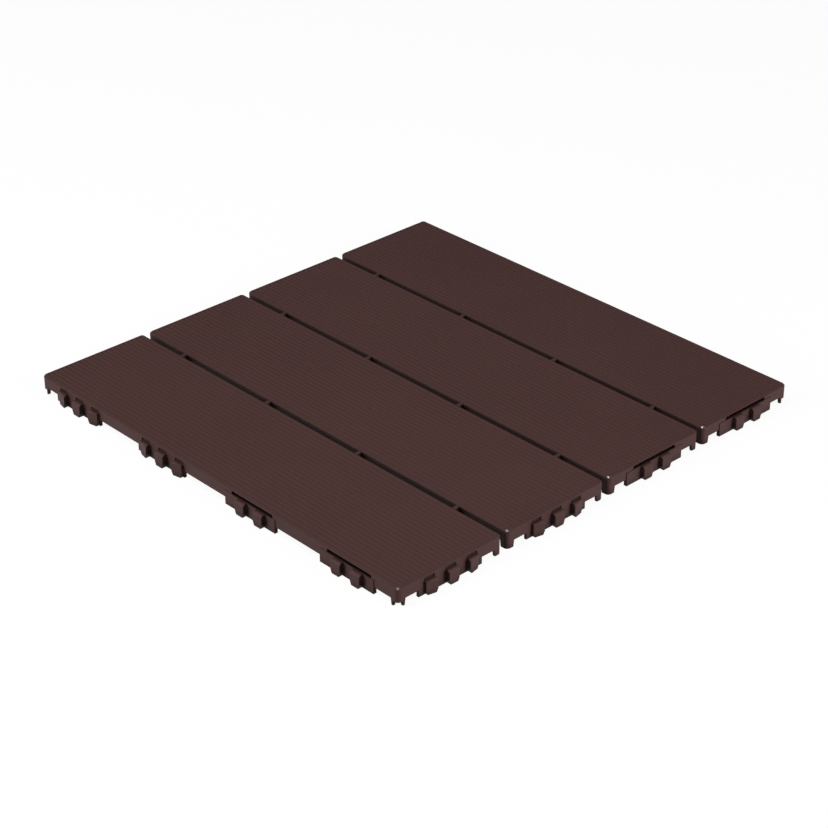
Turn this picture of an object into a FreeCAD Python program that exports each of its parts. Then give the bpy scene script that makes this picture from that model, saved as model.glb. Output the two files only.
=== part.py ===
import FreeCAD, Part
import os
import Sketcher

# Interlocking deck tile: one moulding with board-like slats on short feet and locking lugs on all sides.
# The origin is the centre of the footprint on the ground. X runs along the slats, Z is up.

# Driving dimensions in millimetres, apart from those whose name ends in count
DIMENSIONS = {
    "slat_count": 4,
    "slat_width": 90.0,
    "slat_gap": 5.0,
    "tile_height": 14.0,
    "wall_depth": 9.0,
    "wall_thickness": 2.0,
    "skin_thickness": 2.0,
    "corner_radius": 3.0,
    "edge_chamfer": 1.0,
    "groove_count": 22,
    "groove_pitch": 3.9,
    "groove_depth": 0.35,
    "groove_mouth": 1.7,
    "groove_floor": 0.7,
    "groove_border": 2.5,
    "foot_root": 6.5,
    "foot_tip": 5.8,
    "notch_height": 3.3,
    "notch_reach": 4.4,
    "rib_thickness": 1.6,
    "long_rib_count": 2,
    "long_rib_pitch": 30.0,
    "bay_rib_count": 3,
    "inner_foot_arm": 9.0,
    "bridge_width": 2.6,
    "bridge_drop": 1.2,
    "lug_width": 8.8,
    "lug_clearance": 0.4,
    "tip_clearance": 0.7,
    "lug_lead_in": 1.2,
    "lug_taper": 3.0,
    "lug_nose": 1.3,
    "outer_lug_slant": 1.8,
    "group_border": 4.7,
    "end_trim": 4.2,
    "male_drop": 3.8,
    "relief_height": 1.9,
    "relief_depth": 0.6,
    "female_drop": 3.8,
    "female_step": 0.5,
    "slit_height": 2.5,
    "slit_depth": 3.0,
    "slit_margin": 6.8,
    "slit_backing": 2.0,
}

# The lug rows are alike on all sides, apart from one detail that only opposite sides share
ALL_SIDES = 4
OPPOSITE_SIDES = 2
FULL_TURN = 360.0

# How a sketch names its own origin and the two ends of a line
ORIGIN = (-1, 1)
START = 1
END = 2

# An edge is upright when its height is nearly its whole length
UPRIGHT_SHARE = 0.99


class Size:
    """A number together with the expression that ties it to the sheet."""

    def __init__(self, number, formula):
        self.number = float(number)
        self.formula = formula

    def __add__(self, other):
        other = as_size(other)
        return Size(self.number + other.number, f"({self.formula} + {other.formula})")

    def __sub__(self, other):
        other = as_size(other)
        return Size(self.number - other.number, f"({self.formula} - {other.formula})")

    def __mul__(self, other):
        other = as_size(other)
        return Size(self.number * other.number, f"({self.formula} * {other.formula})")

    def __truediv__(self, other):
        other = as_size(other)
        return Size(self.number / other.number, f"({self.formula} / {other.formula})")

    def __neg__(self):
        return Size(-self.number, f"(-{self.formula})")


def as_size(value):
    return value if isinstance(value, Size) else Size(value, str(value))


GROUND = Size(0, "0")


def fill_sheet(document):
    """Write the driving dimensions into the sheet, each with its name as its alias."""
    sheet = document.addObject("Spreadsheet::Sheet", "Sizes")
    for row, (name, number) in enumerate(DIMENSIONS.items(), start=1):
        sheet.set(f"A{row}", name)
        sheet.set(f"B{row}", str(number))
        sheet.setAlias(f"B{row}", name)
    document.recompute()
    return {name: Size(number, f"Sizes.{name}") for name, number in DIMENSIONS.items()}


def origin_part(body, role):
    return next(item for item in body.Origin.OriginFeatures if item.Role == role)


def new_sketch(body, name, plane, x=None, y=None, z=None):
    """Attach a sketch to an origin plane, moved in the plane by x and y and along its normal by z."""
    sketch = body.newObject("Sketcher::SketchObject", name)
    sketch.AttachmentSupport = (origin_part(body, plane), [""])
    sketch.MapMode = "FlatFace"
    for axis, distance in (("x", x), ("y", y), ("z", z)):
        if distance is not None:
            sketch.setExpression(f"AttachmentOffset.Base.{axis}", distance.formula)
    return sketch


def constrain(sketch, kind, *arguments):
    """Add a constraint, whose last argument may be a size that the sheet drives."""
    *picked, last = arguments
    if not isinstance(last, Size):
        sketch.addConstraint(Sketcher.Constraint(kind, *arguments))
        return
    index = sketch.addConstraint(Sketcher.Constraint(kind, *picked, last.number))
    sketch.setExpression(f"Constraints[{index}]", last.formula)


def draw_polygon(sketch, corners):
    """Draw a closed outline whose corners are pairs of sizes measured from the sketch's origin."""
    places = [FreeCAD.Vector(x.number, y.number, 0) for x, y in corners]
    lines = []
    for here, there in zip(places, places[1:] + places[:1]):
        lines.append(sketch.addGeometry(Part.LineSegment(here, there)))
    for line, following in zip(lines, lines[1:] + lines[:1]):
        constrain(sketch, "Coincident", line, END, following, START)
    for line, (x, y) in zip(lines, corners):
        constrain(sketch, "DistanceX", *ORIGIN, line, START, x)
        constrain(sketch, "DistanceY", *ORIGIN, line, START, y)


def draw_rectangle(sketch, left, right, low, high):
    """Draw a rectangle whose four sides are measured from the sketch's origin."""
    corner = [
        FreeCAD.Vector(left.number, low.number, 0),
        FreeCAD.Vector(right.number, low.number, 0),
        FreeCAD.Vector(right.number, high.number, 0),
        FreeCAD.Vector(left.number, high.number, 0),
    ]
    bottom, east, top, west = [
        sketch.addGeometry(Part.LineSegment(corner[i], corner[(i + 1) % 4])) for i in range(4)
    ]
    for line, following in ((bottom, east), (east, top), (top, west), (west, bottom)):
        constrain(sketch, "Coincident", line, END, following, START)
    for line in (bottom, top):
        constrain(sketch, "Horizontal", line)
    for line in (east, west):
        constrain(sketch, "Vertical", line)
    constrain(sketch, "DistanceX", *ORIGIN, bottom, START, left)
    constrain(sketch, "DistanceX", *ORIGIN, bottom, END, right)
    constrain(sketch, "DistanceY", *ORIGIN, bottom, START, low)
    constrain(sketch, "DistanceY", *ORIGIN, top, START, high)


def draw_lug(sketch, left, right, top, size):
    """Draw the front of one lug: it stands on the ground and tapers to its foot on both sides."""
    lead_in = size["lug_lead_in"]
    taper = size["lug_taper"]
    draw_polygon(sketch, [
        (left + lead_in, GROUND),
        (right - lead_in, GROUND),
        (right, taper),
        (right, top),
        (left, top),
        (left, taper),
    ])


def extrude(body, kind, sketch, name, length, reverse=False, both_ways=False):
    """Pad or pocket a sketch along its normal, or evenly to both sides of its plane."""
    feature = body.newObject(f"PartDesign::{kind}", name)
    feature.Profile = sketch
    feature.Type = "Length"
    feature.setExpression("Length", length.formula)
    feature.Reversed = reverse
    feature.SideType = "Symmetric" if both_ways else "One side"
    feature.Refine = False
    body.Document.recompute()
    return feature


def repeat(body, name, originals, rows, sides=1):
    """Repeat features, or the shape so far, in rows of an axis, a count and a spacing, on so many sides."""
    pattern = body.newObject("PartDesign::MultiTransform", name)
    if originals:
        pattern.Originals = originals
    else:
        pattern.TransformMode = "Whole shape"
    pattern.Refine = False
    steps = []
    for number, (axis, count, spacing) in enumerate(rows, start=1):
        step = body.newObject("PartDesign::LinearPattern", f"{name}_row_{number}")
        step.Direction = (origin_part(body, axis), [""])
        step.Mode = "Spacing"
        step.setExpression("Occurrences", count.formula)
        step.setExpression("Offset", spacing.formula)
        steps.append(step)
    if sides > 1:
        step = body.newObject("PartDesign::PolarPattern", name + "_sides")
        step.Axis = (origin_part(body, "Z_Axis"), [""])
        step.Angle = FULL_TURN
        step.Occurrences = sides
        steps.append(step)
    pattern.Transformations = steps
    body.Tip = pattern
    body.Document.recompute()
    return pattern


def dress_edges(body, kind, name, base, picked, measure, length):
    """Fillet or chamfer the picked edges or faces of a feature, by the length that its measure takes."""
    feature = body.newObject(f"PartDesign::{kind}", name)
    feature.Base = (base, picked)
    feature.setExpression(measure, length.formula)
    feature.Refine = False
    body.Document.recompute()
    return feature


def upright_edges(shape):
    """Name the straight edges that run parallel to Z."""
    names = []
    for number, edge in enumerate(shape.Edges, start=1):
        low, high = edge.BoundBox.ZMin, edge.BoundBox.ZMax
        if high - low > UPRIGHT_SHARE * edge.Length:
            names.append(f"Edge{number}")
    return names


def top_face(shape):
    """Name the highest face."""
    heights = [face.CenterOfMass.z for face in shape.Faces]
    return [f"Face{heights.index(max(heights)) + 1}"]


def derive(size):
    """Add the sizes that follow from the driving ones, measured from the tile's centre or the ground."""
    pitch = size["slat_width"] + size["slat_gap"]
    size["pitch"] = pitch
    size["half_tile"] = (size["slat_count"] * pitch - size["slat_gap"]) / 2
    size["half_slat"] = size["slat_width"] / 2
    size["first_slat"] = -((size["slat_count"] - 1) * pitch / 2)
    size["wall_inside"] = size["half_tile"] - size["wall_thickness"]
    size["slat_inside"] = size["half_slat"] - size["wall_thickness"]
    size["wall_bottom"] = size["tile_height"] - size["wall_depth"]
    size["half_lug"] = size["lug_width"] / 2
    size["lug_pitch"] = (size["lug_width"] + size["lug_clearance"]) * 2
    size["lug_reach"] = size["slat_gap"] - size["female_step"] - size["tip_clearance"]
    size["lug_front"] = size["half_tile"] + size["lug_reach"]
    size["half_group"] = size["lug_pitch"] + size["half_lug"] + size["group_border"]
    group_count = size["slat_count"] / 2
    size["group_row"] = ("Y_Axis", group_count, pitch)
    size["first_female"] = size["first_slat"] + group_count * pitch
    size["male_top"] = size["tile_height"] - size["male_drop"]
    size["female_top"] = size["tile_height"] - size["female_drop"]


def make_slat(body, size):
    """The first slat: hollow from below, on a foot at each corner."""
    first = size["first_slat"]
    sketch = new_sketch(body, "slat_outline", "XY_Plane", y=first)
    draw_rectangle(sketch, -size["half_tile"], size["half_tile"], -size["half_slat"], size["half_slat"])
    block = extrude(body, "Pad", sketch, "slat_block", size["tile_height"])
    upright = upright_edges(block.Shape)
    corners = dress_edges(body, "Fillet", "slat_corners", block, upright, "Radius", size["corner_radius"])
    rim = top_face(corners.Shape)
    dress_edges(body, "Chamfer", "slat_rim", corners, rim, "Size", size["edge_chamfer"])

    sketch = new_sketch(body, "hollow_outline", "XY_Plane", y=first)
    half_length = size["wall_inside"]
    half_width = size["slat_inside"]
    draw_rectangle(sketch, -half_length, half_length, -half_width, half_width)
    ceiling = size["tile_height"] - size["skin_thickness"]
    extrude(body, "Pocket", sketch, "hollow", ceiling, reverse=True)

    # The walls stop short of the ground between the feet, whose sides taper towards their tips
    length = size["half_tile"] * 2 + size["slat_gap"]
    for name, plane, place, half_wall, depth in (
        ("long_wall_window", "XZ_Plane", {"z": -first}, size["half_tile"], size["pitch"]),
        ("end_wall_window", "YZ_Plane", {"x": first}, size["half_slat"], length),
    ):
        sketch = new_sketch(body, name + "_outline", plane, **place)
        tip = half_wall - size["foot_tip"]
        root = half_wall - size["foot_root"]
        top = size["wall_bottom"]
        draw_polygon(sketch, [(-tip, GROUND), (tip, GROUND), (root, top), (-root, top)])
        extrude(body, "Pocket", sketch, name, depth, both_ways=True)


def make_underside(body, size):
    """Ribs under the first slat's skin, down to the bottom of its walls, and cross-shaped inner feet."""
    first = size["first_slat"]
    half_rib = size["rib_thickness"] / 2
    height = size["wall_depth"] - size["skin_thickness"]
    long_ribs = ("Y_Axis", size["long_rib_count"], size["long_rib_pitch"])
    first_long_rib = first - (size["long_rib_count"] - 1) * size["long_rib_pitch"] / 2

    sketch = new_sketch(body, "long_rib_outline", "XY_Plane", y=first_long_rib, z=size["wall_bottom"])
    draw_rectangle(sketch, -size["wall_inside"], size["wall_inside"], -half_rib, half_rib)
    rib = extrude(body, "Pad", sketch, "long_rib", height)
    repeat(body, "long_ribs", [rib], [long_ribs])

    # The cross ribs are spaced so that one lies in line with each row of bridges
    count = (size["slat_count"] - 1) * size["bay_rib_count"] + 1
    sketch = new_sketch(body, "cross_rib_outline", "XY_Plane", x=first, y=first, z=size["wall_bottom"])
    draw_rectangle(sketch, -half_rib, half_rib, -size["slat_inside"], size["slat_inside"])
    rib = extrude(body, "Pad", sketch, "cross_rib", height)
    repeat(body, "cross_ribs", [rib], [("X_Axis", count, size["pitch"] / size["bay_rib_count"])])

    # The inner feet stand where the ribs in line with the bridges cross the long ribs
    arm = size["inner_foot_arm"] / 2
    webs = []
    for name, half_x, half_y in (("foot_web_along", arm, half_rib), ("foot_web_across", half_rib, arm)):
        sketch = new_sketch(body, name + "_outline", "XY_Plane", x=first, y=first_long_rib)
        draw_rectangle(sketch, -half_x, half_x, -half_y, half_y)
        webs.append(extrude(body, "Pad", sketch, name, size["wall_bottom"]))
    bays = ("X_Axis", size["slat_count"], size["pitch"])
    repeat(body, "inner_feet", webs, [bays, long_ribs])


def make_grooves(body, size):
    """Fine grooves along the first slat's top face, which stop short of its ends."""
    first_groove = size["first_slat"] - (size["groove_count"] - 1) * size["groove_pitch"] / 2
    bottom = size["tile_height"] - size["groove_depth"]
    half_mouth = size["groove_mouth"] / 2
    half_floor = size["groove_floor"] / 2
    top = size["tile_height"]
    sketch = new_sketch(body, "groove_outline", "YZ_Plane", x=first_groove)
    draw_polygon(sketch, [
        (-half_floor, bottom),
        (half_floor, bottom),
        (half_mouth, top),
        (-half_mouth, top),
    ])
    length = (size["half_tile"] - size["groove_border"]) * 2
    groove = extrude(body, "Pocket", sketch, "groove", length, both_ways=True)
    repeat(body, "grooves", [groove], [("Y_Axis", size["groove_count"], size["groove_pitch"])])


def make_bridges(body, size):
    """Low bars that join the slats across the drain gaps."""
    first_gap = size["first_slat"] + size["pitch"] / 2
    place = {"x": size["first_slat"], "y": first_gap, "z": size["wall_bottom"]}
    sketch = new_sketch(body, "bridge_outline", "XY_Plane", **place)
    half_width = size["bridge_width"] / 2
    half_gap = size["slat_gap"] / 2
    draw_rectangle(sketch, -half_width, half_width, -half_gap, half_gap)
    bridge = extrude(body, "Pad", sketch, "bridge", size["wall_depth"] - size["bridge_drop"])
    along = ("X_Axis", size["slat_count"], size["pitch"])
    across = ("Y_Axis", size["slat_count"] - 1, size["pitch"])
    repeat(body, "bridges", [bridge], [along, across])


def make_male_groups(body, size):
    """A skirt flush with the wall and three lugs, of which the outer two have a slanted front."""
    first = size["first_slat"]
    face = size["half_tile"]
    pitch = size["lug_pitch"]
    half_lug = size["half_lug"]
    top = size["male_top"]

    sketch = new_sketch(body, "male_skirt_outline", "XY_Plane", y=first)
    draw_rectangle(sketch, size["wall_inside"], face, -size["half_group"], size["half_group"])
    skirt = extrude(body, "Pad", sketch, "male_skirt", size["wall_bottom"])

    sketch = new_sketch(body, "male_lug_outline", "YZ_Plane", x=first, z=face)
    for centre in (-pitch, GROUND, pitch):
        draw_lug(sketch, centre - half_lug, centre + half_lug, top, size)
    lugs = extrude(body, "Pad", sketch, "male_lugs", size["lug_reach"])

    sketch = new_sketch(body, "male_slant_outline", "XY_Plane", y=first)
    front = size["lug_front"]
    back = front - size["outer_lug_slant"]
    inner = pitch - half_lug
    outer = pitch + half_lug
    draw_polygon(sketch, [(front, inner), (front, outer), (back, outer)])
    draw_polygon(sketch, [(front, -inner), (back, -outer), (front, -outer)])
    slants = extrude(body, "Pocket", sketch, "male_slants", top, reverse=True)

    nose = cut_nose(body, "male_nose", first, top, size)
    repeat(body, "male_groups", [skirt, lugs, slants, nose], [size["group_row"]], sides=ALL_SIDES)


def make_female_groups(body, size):
    """A block a little proud of the wall, with two lugs, and a backing that closes the slit over them."""
    first = size["first_female"]
    half_lug = size["half_lug"]
    half_pitch = size["lug_pitch"] / 2
    half_group = size["half_group"]
    top = size["female_top"]

    sketch = new_sketch(body, "female_block_outline", "XY_Plane", y=first)
    face = size["half_tile"] + size["female_step"]
    draw_rectangle(sketch, size["wall_inside"], face, -half_group, half_group)
    block = extrude(body, "Pad", sketch, "female_block", top)

    sketch = new_sketch(body, "female_backing_outline", "XY_Plane", y=first, z=size["wall_bottom"])
    inside = size["wall_inside"] - size["slit_backing"]
    draw_rectangle(sketch, inside, size["wall_inside"], -half_group, half_group)
    height = size["wall_depth"] - size["skin_thickness"]
    backing = extrude(body, "Pad", sketch, "female_backing", height)

    sketch = new_sketch(body, "female_lug_outline", "YZ_Plane", x=first, z=size["half_tile"])
    for centre in (-half_pitch, half_pitch):
        draw_lug(sketch, centre - half_lug, centre + half_lug, top, size)
    lugs = extrude(body, "Pad", sketch, "female_lugs", size["lug_reach"])

    nose = cut_nose(body, "female_nose", first, top, size)
    repeat(body, "female_groups", [block, backing, lugs, nose], [size["group_row"]], sides=ALL_SIDES)


def trim_groups(body, size):
    """Shorten the right-hand end of the groups on the two sides that run along the slats."""
    sketch = new_sketch(body, "end_trim_outline", "XY_Plane", x=size["first_slat"])
    end = size["half_group"]
    front = -(size["half_tile"] + size["female_step"])
    draw_rectangle(sketch, end - size["end_trim"], end, front, -size["wall_inside"])
    trim = extrude(body, "Pocket", sketch, "end_trim", size["tile_height"], reverse=True)
    along = ("X_Axis", size["slat_count"], size["pitch"])
    repeat(body, "end_trims", [trim], [along], sides=OPPOSITE_SIDES)


def cut_nose(body, name, centre, top, size):
    """Bevel the upper front edge of every lug in one group."""
    sketch = new_sketch(body, name + "_outline", "XZ_Plane", z=-centre)
    front = size["lug_front"]
    nose = size["lug_nose"]
    draw_polygon(sketch, [(front, top - nose), (front, top), (front - nose, top)])
    return extrude(body, "Pocket", sketch, name, size["half_group"] * 2, both_ways=True)


def make_cutouts(body, size):
    """What is cut out of the walls: slits over female lugs, reliefs over male ones, corner notches."""
    sketch = new_sketch(body, "slit_outline", "YZ_Plane", x=size["first_female"], z=size["half_tile"])
    half_slit = size["half_group"] - size["slit_margin"]
    slit_top = size["female_top"] + size["slit_height"]
    draw_rectangle(sketch, -half_slit, half_slit, size["female_top"], slit_top)
    slit = extrude(body, "Pad", sketch, "slit", size["slit_depth"], reverse=True)
    repeat(body, "slits", [slit], [size["group_row"]], sides=ALL_SIDES)

    sketch = new_sketch(body, "relief_outline", "YZ_Plane", x=size["first_slat"], z=size["half_tile"])
    relief_top = size["male_top"] + size["relief_height"]
    for centre in (-size["lug_pitch"], GROUND, size["lug_pitch"]):
        left = centre - size["half_lug"]
        right = centre + size["half_lug"]
        draw_rectangle(sketch, left, right, size["male_top"], relief_top)
    relief = extrude(body, "Pad", sketch, "relief", size["relief_depth"], reverse=True)
    repeat(body, "reliefs", [relief], [size["group_row"]], sides=ALL_SIDES)

    sketch = new_sketch(body, "corner_notch_outline", "XY_Plane")
    start = size["half_tile"] - size["notch_reach"]
    draw_rectangle(sketch, start, size["half_tile"], -size["half_tile"], -start)
    notch = extrude(body, "Pad", sketch, "corner_notch", size["notch_height"])
    repeat(body, "corner_notches", [notch], [], sides=ALL_SIDES)


def combine(body, kind, name, other, refine=False):
    """Fuse another body's shape with this one, or cut it out."""
    feature = body.newObject("PartDesign::Boolean", name)
    feature.setObjects([other])
    feature.Type = kind
    feature.Refine = refine
    body.Tip = feature
    body.Document.recompute()


def new_body(document, name):
    body = document.addObject("PartDesign::Body", name)
    body.Label = name
    body.AllowCompound = True
    return body


def main():
    document = FreeCAD.newDocument("deck_tile")
    size = fill_sheet(document)
    derive(size)

    joints = new_body(document, "bridges_and_lugs")
    make_bridges(joints, size)
    make_male_groups(joints, size)
    make_female_groups(joints, size)
    trim_groups(joints, size)

    cutouts = new_body(document, "cutouts")
    make_cutouts(cutouts, size)

    tile = new_body(document, "deck_tile")
    make_slat(tile, size)
    make_underside(tile, size)
    make_grooves(tile, size)
    repeat(tile, "slats", [], [("Y_Axis", size["slat_count"], size["pitch"])])
    combine(tile, "Fuse", "joined_slats", joints)
    combine(tile, "Cut", "moulding", cutouts, refine=True)

    check_document(document, tile)
    os.makedirs("parts", exist_ok=True)
    tile.Shape.exportStep(f"parts/{tile.Label}.step")


def check_document(document, body):
    """Stop before anything is written if a feature failed or the moulding isn't one valid solid."""
    for item in document.Objects:
        if "Invalid" in item.State or "Error" in item.State:
            raise RuntimeError(f"{item.Label} failed: {item.State}")
    shape = body.Shape
    if shape.isNull() or not shape.isValid() or len(shape.Solids) != 1:
        raise RuntimeError(f"{body.Label} has no single valid solid: {len(shape.Solids)}")
    print(f"{body.Label}: volume {shape.Volume:.0f} mm3, box {shape.BoundBox}")


main()
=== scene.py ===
import math

import bpy
from mathutils import Matrix, Vector

# Interlocking deck tile of dark brown moulded plastic, alone on white. Lengths are in metres.
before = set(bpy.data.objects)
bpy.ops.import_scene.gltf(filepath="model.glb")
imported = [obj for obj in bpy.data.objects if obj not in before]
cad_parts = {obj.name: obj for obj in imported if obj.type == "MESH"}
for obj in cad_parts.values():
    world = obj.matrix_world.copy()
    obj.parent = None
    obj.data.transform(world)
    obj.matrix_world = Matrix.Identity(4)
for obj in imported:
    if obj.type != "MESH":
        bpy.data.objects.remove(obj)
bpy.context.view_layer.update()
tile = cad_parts["deck_tile"]

# Camera, which turns about the centre of the tile's top
TILE_HEIGHT = 0.014
PICTURE_SIZE = 828.0
SENSOR_WIDTH = 36.0
FOCAL_PIXELS = 2297.25
AZIMUTH = math.radians(47.1085)
ELEVATION = math.radians(29.1146)
ROLL = math.radians(-0.3054)
PAN = math.radians(0.0341)
TILT = math.radians(-0.8727)
DISTANCE = 1.63594
CLIP_START = 0.01
CLIP_END = 100.0

# Brown plastic: its tones, shine and roughness
BROWN = (0.062, 0.0310, 0.0285, 1.0)
BROWN_DARK = (0.052, 0.0250, 0.0230, 1.0)
PATCH_SCALE = 9.0
PATCH_DETAIL = 4.0
PLASTIC_IOR = 1.5
SPECULAR_LEVEL = 0.08
SHEEN_SCALE = 60.0
SHEEN_DETAIL = 3.0
ROUGHNESS = (0.42, 0.56)

# Painted shade in recesses: how far they are felt, which openness counts as deep or free, and the painted
# shade there
RECESS_REACH = 0.008
RECESS_SAMPLES = 12
RECESS_OPENNESS = (0.25, 0.85)
RECESS_PAINTED_SHADE = (0.15, 1.0)

# Bevelled rims: the upward part of their normal, the height above which they lie, and the painted shade on
# them
RIM_SLOPE = 0.707
RIM_SLOPE_MARGIN = 0.06
RIM_LOW = 0.0125
RIM_PAINTED_SHADE = 0.25

# Corner points of the slats, whose normal has no small part, and their polish
CORNER_SLOPE = (0.12, 0.40)
POLISH_ROUGHNESS = 0.30
POLISH_IOR = 2.4

# Grain of the mould, and the radius of edges that are never quite sharp
GRAIN_SCALE = 1400.0
GRAIN_DETAIL = 2.0
GRAIN_STRENGTH = 0.25
GRAIN_DEPTH = 0.00005
EDGE_RADIUS = 0.0009
EDGE_SAMPLES = 6

# White paper floor
FLOOR_HALF = 15.0
PAPER_SCALE = 300.0
PAPER_TONE = (0.88, 0.90)
PAPER_UNDER_LAMPS = (0.30, 0.30, 0.30, 1.0)
FLOOR_SHADOW_SHARE = 0.07
WHITE = (1.0, 1.0, 1.0, 1.0)

# Light: two low soft lamps, to the tile's left and right, one above, and a small one over the near corner.
# Each lamp has its name, place, side length and power in watts.
WORLD_STRENGTH = 0.10
LAMPS = (
    ("right_lamp", (2.25, 0.80, 0.70), 1.2, 62.0),
    ("left_lamp", (-1.05, -1.95, 0.72), 1.0, 40.0),
    ("top_lamp", (-0.50, -0.50, 1.55), 1.2, 12.8),
    ("corner_lamp", (0.45, -0.52, 1.22), 0.25, 5.0),
)

WHOLE_RANGE = (0.0, 1.0)

# Sockets of a colour mix, which share their names with others of the same node
MIX_SHARE = 0
MIX_FIRST = 6
MIX_SECOND = 7
MIX_RESULT = 2


def empty_tree(block):
    """Give a material or world a node tree with nothing in it."""
    block.use_nodes = True
    block.node_tree.nodes.clear()
    return block.node_tree


def add_node(tree, kind, values=None, **settings):
    """Add a shader node with its settings, and with values for its sockets by name or number."""
    node = tree.nodes.new(kind)
    for name, setting in settings.items():
        setattr(node, name, setting)
    for socket, value in (values or {}).items():
        node.inputs[socket].default_value = value
    return node


def add_noise(tree, scale, detail):
    return add_node(tree, "ShaderNodeTexNoise", {"Scale": scale, "Detail": detail})


def add_range(tree, before, after):
    """Add a node that maps one range of numbers to another."""
    values = {"From Min": before[0], "From Max": before[1], "To Min": after[0], "To Max": after[1]}
    return add_node(tree, "ShaderNodeMapRange", values)


def add_math(tree, operation, values=None):
    return add_node(tree, "ShaderNodeMath", values, operation=operation)


def link(tree, source, output, target, socket):
    tree.links.new(source.outputs[output], target.inputs[socket])


def add_slopes(tree, shape):
    """Split the face's normal into its parts along X, Y and Z, all taken as positive."""
    normal = add_node(tree, "ShaderNodeVectorMath", operation="ABSOLUTE")
    link(tree, shape, "True Normal", normal, 0)
    slopes = add_node(tree, "ShaderNodeSeparateXYZ")
    link(tree, normal, "Vector", slopes, "Vector")
    return slopes


def add_rim_painted_shade(tree, shape, slopes):
    """A factor that paints shade on the bevelled rims of the slats' tops: lower there and 1 elsewhere."""
    bevelled = add_math(tree, "COMPARE", {1: RIM_SLOPE, 2: RIM_SLOPE_MARGIN})
    link(tree, slopes, "Z", bevelled, 0)
    place = add_node(tree, "ShaderNodeSeparateXYZ")
    link(tree, shape, "Position", place, "Vector")
    high = add_math(tree, "GREATER_THAN", {1: RIM_LOW})
    link(tree, place, "Z", high, 0)
    rim = add_math(tree, "MULTIPLY")
    link(tree, bevelled, "Value", rim, 0)
    link(tree, high, "Value", rim, 1)
    tone = add_math(tree, "MULTIPLY_ADD", {1: -RIM_PAINTED_SHADE, 2: 1.0})
    link(tree, rim, "Value", tone, 0)
    return tone


def add_base_color(tree, surface, place, rim_painted_shade):
    """Broad soft patches of two browns, with painted shade on the rims and in recesses, where little light
    comes.
    """
    patches = add_noise(tree, PATCH_SCALE, PATCH_DETAIL)
    link(tree, place, "Object", patches, "Vector")
    colors = {MIX_FIRST: BROWN_DARK, MIX_SECOND: BROWN}
    brown = add_node(tree, "ShaderNodeMix", colors, data_type="RGBA")
    link(tree, patches, "Fac", brown, MIX_SHARE)

    # Painted shade: the brown is darkened where ambient occlusion finds little open space around the
    # surface.
    recess = add_node(tree, "ShaderNodeAmbientOcclusion", {"Distance": RECESS_REACH}, samples=RECESS_SAMPLES)
    openness = add_range(tree, RECESS_OPENNESS, RECESS_PAINTED_SHADE)
    link(tree, recess, "AO", openness, "Value")
    # The painted shade of the recesses and the painted shade of the rims together scale the brown.
    tone = add_math(tree, "MULTIPLY")
    link(tree, openness, "Result", tone, 0)
    link(tree, rim_painted_shade, "Value", tone, 1)
    shade = add_node(tree, "ShaderNodeVectorMath", operation="SCALE")
    link(tree, brown, MIX_RESULT, shade, 0)
    link(tree, tone, "Value", shade, "Scale")
    link(tree, shade, "Vector", surface, "Base Color")


def add_polish(tree, surface, slopes):
    """The corner points of the slats are rubbed shiny."""
    sideways = add_math(tree, "MINIMUM")
    link(tree, slopes, "X", sideways, 0)
    link(tree, slopes, "Y", sideways, 1)
    all_ways = add_math(tree, "MINIMUM")
    link(tree, sideways, "Value", all_ways, 0)
    link(tree, slopes, "Z", all_ways, 1)
    polish = add_range(tree, CORNER_SLOPE, WHOLE_RANGE)
    link(tree, all_ways, "Value", polish, "Value")
    link(tree, polish, "Result", surface, "Coat Weight")


def add_relief(tree, surface, place):
    """Fine grain of the mould over slightly rounded edges, and a roughness that varies a little."""
    sheen = add_noise(tree, SHEEN_SCALE, SHEEN_DETAIL)
    link(tree, place, "Object", sheen, "Vector")
    roughness = add_range(tree, WHOLE_RANGE, ROUGHNESS)
    link(tree, sheen, "Fac", roughness, "Value")
    link(tree, roughness, "Result", surface, "Roughness")

    edges = add_node(tree, "ShaderNodeBevel", {"Radius": EDGE_RADIUS}, samples=EDGE_SAMPLES)
    grain = add_noise(tree, GRAIN_SCALE, GRAIN_DETAIL)
    link(tree, place, "Object", grain, "Vector")
    bump = add_node(tree, "ShaderNodeBump", {"Strength": GRAIN_STRENGTH, "Distance": GRAIN_DEPTH})
    link(tree, grain, "Fac", bump, "Height")
    link(tree, edges, "Normal", bump, "Normal")
    link(tree, bump, "Normal", surface, "Normal")


def plastic_material():
    """Semi-matte moulded plastic with a fine grain, faint tone changes, and painted shade in recesses and on
    the rims.
    """
    material = bpy.data.materials.new("brown_plastic")
    tree = empty_tree(material)
    out = add_node(tree, "ShaderNodeOutputMaterial")
    surface = add_node(tree, "ShaderNodeBsdfPrincipled", {
        "IOR": PLASTIC_IOR,
        "Specular IOR Level": SPECULAR_LEVEL,
        "Coat Roughness": POLISH_ROUGHNESS,
        "Coat IOR": POLISH_IOR,
    })
    link(tree, surface, "BSDF", out, "Surface")
    place = add_node(tree, "ShaderNodeTexCoord")
    shape = add_node(tree, "ShaderNodeNewGeometry")
    slopes = add_slopes(tree, shape)
    add_base_color(tree, surface, place, add_rim_painted_shade(tree, shape, slopes))
    add_polish(tree, surface, slopes)
    add_relief(tree, surface, place)
    return material


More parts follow.
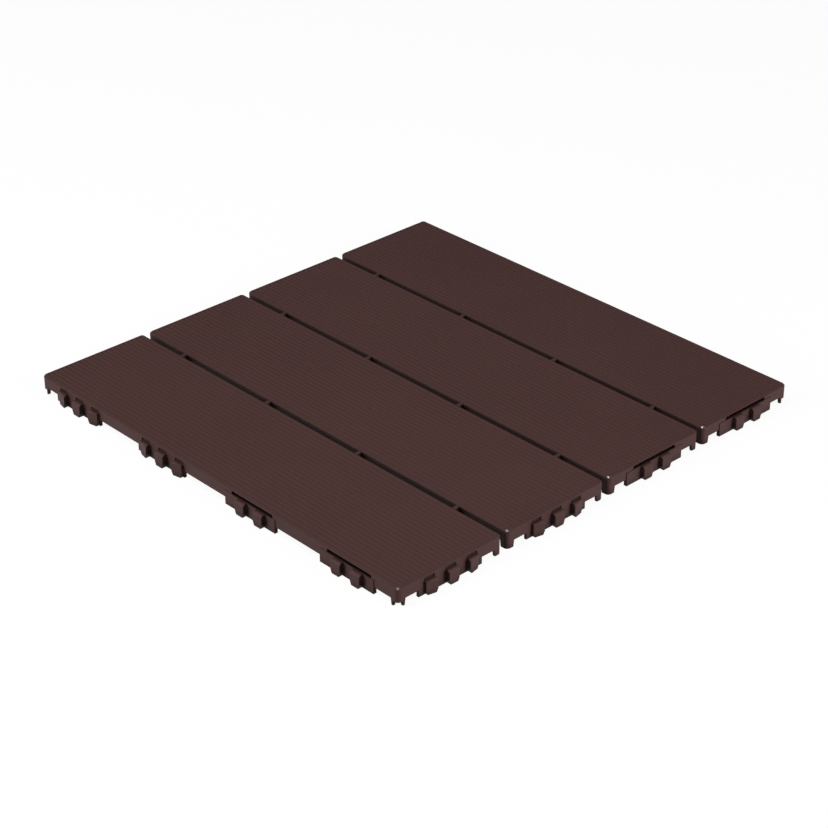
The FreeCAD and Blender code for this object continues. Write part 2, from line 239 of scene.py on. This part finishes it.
def paper_material():
    """White paper: bright to the camera and in reflections, with a faint shadow."""
    material = bpy.data.materials.new("white_paper")
    tree = empty_tree(material)
    out = add_node(tree, "ShaderNodeOutputMaterial")
    paper = add_node(tree, "ShaderNodeBsdfDiffuse")
    grain = add_node(tree, "ShaderNodeTexNoise", {"Scale": PAPER_SCALE})
    fibre = add_range(tree, WHOLE_RANGE, PAPER_TONE)
    link(tree, grain, "Fac", fibre, "Value")
    shown = add_node(tree, "ShaderNodeMix", {MIX_FIRST: PAPER_UNDER_LAMPS}, data_type="RGBA")
    link(tree, fibre, "Result", shown, MIX_SECOND)
    link(tree, shown, MIX_RESULT, paper, "Color")
    glow = add_node(tree, "ShaderNodeEmission", {"Color": WHITE, "Strength": 1.0})

    # Only what looks at the paper, straight or in a mirror or glass, sees it white
    path = add_node(tree, "ShaderNodeLightPath")
    mirrored = add_math(tree, "MAXIMUM")
    link(tree, path, "Is Camera Ray", mirrored, 0)
    link(tree, path, "Is Glossy Ray", mirrored, 1)
    seen = add_math(tree, "MAXIMUM")
    link(tree, mirrored, "Value", seen, 0)
    link(tree, path, "Is Transmission Ray", seen, 1)
    link(tree, seen, "Value", shown, MIX_SHARE)
    share = add_math(tree, "MULTIPLY", {1: 1.0 - FLOOR_SHADOW_SHARE})
    link(tree, seen, "Value", share, 0)
    mix = add_node(tree, "ShaderNodeMixShader")
    link(tree, share, "Value", mix, "Fac")
    link(tree, paper, "BSDF", mix, 1)
    link(tree, glow, "Emission", mix, 2)
    link(tree, mix, "Shader", out, "Surface")
    return material


def make_floor():
    mesh = bpy.data.meshes.new("floor")
    corners = [(x * FLOOR_HALF, y * FLOOR_HALF, 0) for x, y in ((-1, -1), (1, -1), (1, 1), (-1, 1))]
    mesh.from_pydata(corners, [], [(0, 1, 2, 3)])
    floor = bpy.data.objects.new("floor", mesh)
    bpy.context.collection.objects.link(floor)
    mesh.materials.append(paper_material())


def make_world():
    """Even soft light all round, white to the camera."""
    world = bpy.data.worlds.new("studio")
    bpy.context.scene.world = world
    tree = empty_tree(world)
    out = add_node(tree, "ShaderNodeOutputWorld")
    soft = add_node(tree, "ShaderNodeBackground", {"Color": WHITE, "Strength": WORLD_STRENGTH})
    white = add_node(tree, "ShaderNodeBackground", {"Color": WHITE, "Strength": 1.0})
    path = add_node(tree, "ShaderNodeLightPath")
    mix = add_node(tree, "ShaderNodeMixShader")
    link(tree, path, "Is Camera Ray", mix, "Fac")
    link(tree, soft, "Background", mix, 1)
    link(tree, white, "Background", mix, 2)
    link(tree, mix, "Shader", out, "Surface")


def make_lamp(name, place, size, power):
    """A square soft light that faces the middle of the tile."""
    data = bpy.data.lights.new(name, "AREA")
    data.shape = "SQUARE"
    data.size = size
    data.energy = power
    lamp = bpy.data.objects.new(name, data)
    lamp.location = place
    lamp.rotation_euler = (-Vector(place)).to_track_quat("-Z", "Y").to_euler()
    bpy.context.collection.objects.link(lamp)


def level_axes(forward):
    """The camera's right and up when it looks forward with a level horizon."""
    right = forward.cross(Vector((0, 0, 1))).normalized()
    return right, right.cross(forward)


def make_camera():
    """Stand at the photo's viewpoint, a little turned so that the tile sits where the photo has it."""
    level = math.cos(ELEVATION)
    back = Vector((math.sin(AZIMUTH) * level, -math.cos(AZIMUTH) * level, math.sin(ELEVATION)))
    right, up = level_axes(-back)
    forward = math.cos(TILT) * (math.cos(PAN) * -back + math.sin(PAN) * right) + math.sin(TILT) * up
    right, up = level_axes(forward)
    turned_right = math.cos(ROLL) * right + math.sin(ROLL) * up
    turned_up = -math.sin(ROLL) * right + math.cos(ROLL) * up
    data = bpy.data.cameras.new("camera")
    data.sensor_width = SENSOR_WIDTH
    data.lens = FOCAL_PIXELS / PICTURE_SIZE * SENSOR_WIDTH
    data.clip_start = CLIP_START
    data.clip_end = CLIP_END
    camera = bpy.data.objects.new("camera", data)
    turn = Matrix((turned_right, turned_up, -forward)).transposed().to_4x4()
    stand = Vector((0, 0, TILE_HEIGHT)) + back * DISTANCE
    camera.matrix_world = Matrix.Translation(stand) @ turn
    bpy.context.collection.objects.link(camera)
    bpy.context.scene.camera = camera


bpy.context.scene.view_settings.view_transform = "Standard"
plastic = plastic_material()
for slot in tile.material_slots:
    slot.material = plastic
make_floor()
make_world()
for name, place, size, power in LAMPS:
    make_lamp(name, place, size, power)
make_camera()
